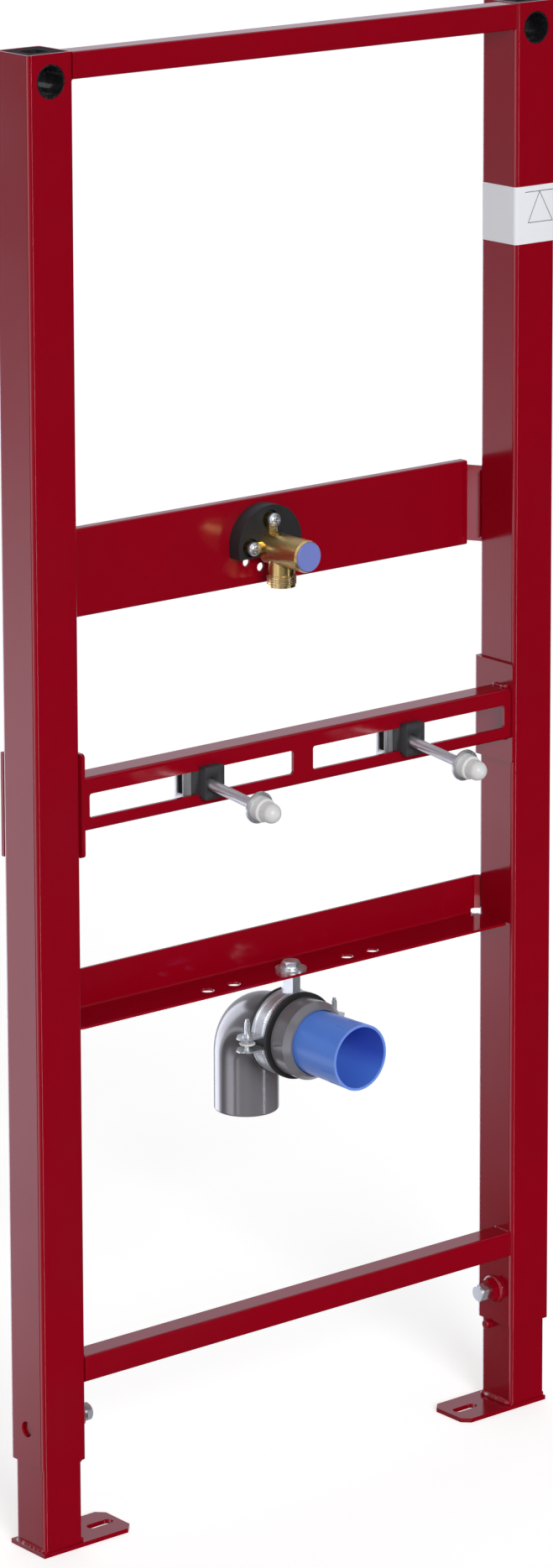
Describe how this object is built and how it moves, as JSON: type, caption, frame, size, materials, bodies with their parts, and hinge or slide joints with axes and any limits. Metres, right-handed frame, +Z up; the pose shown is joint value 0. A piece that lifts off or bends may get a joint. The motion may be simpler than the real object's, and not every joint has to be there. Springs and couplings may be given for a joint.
{
  "type": "urinal installation frame",
  "caption": "Steel mounting frame for a wall urinal, with telescopic feet, slotted fixing bar with studs, water elbow and drain bend.",
  "frame": {"origin": "on the floor, midway between the slotted holes of the two feet", "axes": "+X to the right seen from the room, +Y towards the wall behind, +Z up"},
  "size_m": [0.5, 0.184, 1.12],
  "materials": {
    "red_paint": "gloss powder coat, dark red",
    "black_plastic": "satin moulded plastic",
    "black_rubber": "matt rubber",
    "zinc": "bright zinc plate",
    "brass": "cast and turned brass",
    "blue_cap": "satin plastic",
    "blue_plug": "smooth moulded plastic",
    "grey_pipe": "smooth moulded pipe plastic",
    "white_plastic": "smooth moulded plastic"
  },
  "bodies": {
    "frame": {"bottom_bar": "red_paint", "clamp_coupling": "zinc", "clamp_lining": "black_rubber", "clamp_lower_band": "zinc", "clamp_upper_band": "zinc", "drain_angle": "red_paint", "drain_collar": "grey_pipe", "drain_elbow": "grey_pipe", "drain_plug": "blue_plug", "fixing_channel": "red_paint", "hanging_bolt": "zinc", "hanging_washer": "zinc", "left_bracket": "red_paint", "left_clamp_ring": "white_plastic", "left_clamp_screw": "zinc", "left_lock_bolt": "zinc", "left_lock_nut": "red_paint", "left_top_plug": "black_plastic", "left_upright": "red_paint", "right_bracket": "red_paint", "right_clamp_ring": "white_plastic", "right_clamp_screw": "zinc", "right_lock_bolt": "zinc", "right_lock_nut": "red_paint", "right_top_plug": "black_plastic", "right_upright": "red_paint", "top_bar": "red_paint", "valve_backing": "black_rubber", "valve_cap": "blue_cap", "valve_elbow": "brass", "valve_plate": "red_paint", "valve_screw_left": "zinc", "valve_screw_top": "zinc"},
    "left_leg_group": {"left_leg": "red_paint", "left_foot_plate": "red_paint", "left_stop_pin": "red_paint"},
    "left_stud_group": {"left_stud_clip": "black_plastic", "left_slide_cage": "zinc", "left_stud": "zinc", "left_stud_washer": "zinc", "left_cap_nut": "white_plastic"},
    "right_leg_group": {"right_leg": "red_paint", "right_foot_plate": "red_paint", "right_stop_pin": "red_paint"},
    "right_stud_group": {"right_stud_clip": "black_plastic", "right_slide_cage": "zinc", "right_stud": "zinc", "right_stud_washer": "zinc", "right_cap_nut": "white_plastic"}
  },
  "joints": [
    {"name": "left_leg_slide", "type": "slide", "parent": "frame", "child": "left_leg_group", "axis": [0, 0, -1], "range_m": [0, 0.2]},
    {"name": "right_leg_slide", "type": "slide", "parent": "frame", "child": "right_leg_group", "axis": [0, 0, -1], "range_m": [0, 0.2]},
    {"name": "left_stud_slide", "type": "slide", "parent": "frame", "child": "left_stud_group", "axis": [1, 0, 0], "range_m": [-0.0775, 0.07]},
    {"name": "right_stud_slide", "type": "slide", "parent": "frame", "child": "right_stud_group", "axis": [1, 0, 0], "range_m": [-0.077, 0.0855]}
  ]
}
